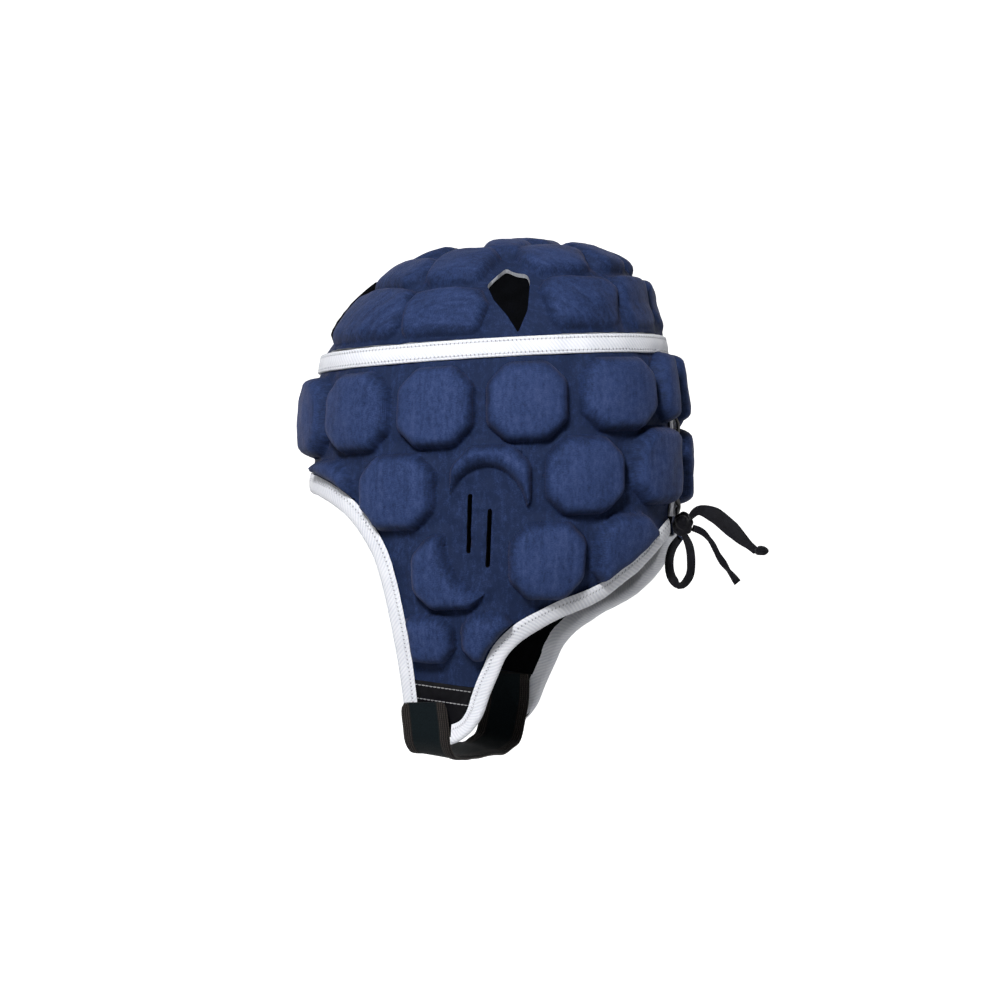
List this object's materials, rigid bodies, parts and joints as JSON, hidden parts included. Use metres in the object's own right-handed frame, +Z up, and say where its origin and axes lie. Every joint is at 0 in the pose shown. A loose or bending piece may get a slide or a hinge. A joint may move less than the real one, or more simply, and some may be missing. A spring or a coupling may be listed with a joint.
{
  "type": "rugby scrum cap",
  "caption": "Padded stretch scrum cap with crown vents, ear slots, white bindings, laced back and a chin strap, in worn form.",
  "frame": {"origin": "inside of the crown, where the top of the head rests", "axes": "+Z up, -Y towards the forehead, +X towards the wearer's left"},
  "size_m": [0.1738, 0.2521, 0.2791],
  "materials": {
    "navy_jersey": "brushed stretch jersey over foam",
    "black_lining": "matt stretch lining",
    "white_twill": "matt twill tape",
    "black_webbing": "ribbed webbing",
    "black_lace": "satin flat lace"
  },
  "bodies": {
    "root": {"side_panel": "navy_jersey", "crown_panel": "navy_jersey", "side_lining": "black_lining", "crown_lining": "black_lining", "crown_band": "white_twill", "front_binding": "white_twill", "rear_binding_left": "white_twill", "rear_binding_right": "white_twill", "gap_binding_left": "white_twill", "gap_binding_right": "white_twill", "chin_tab_left": "black_webbing", "chin_tab_right": "black_webbing", "chin_strap": "black_webbing", "lacing": "black_lace", "lace_knot": "black_lace", "lace_loop": "black_lace", "lace_tail_long": "black_lace", "lace_tail_short": "black_lace"}
  },
  "joints": []
}
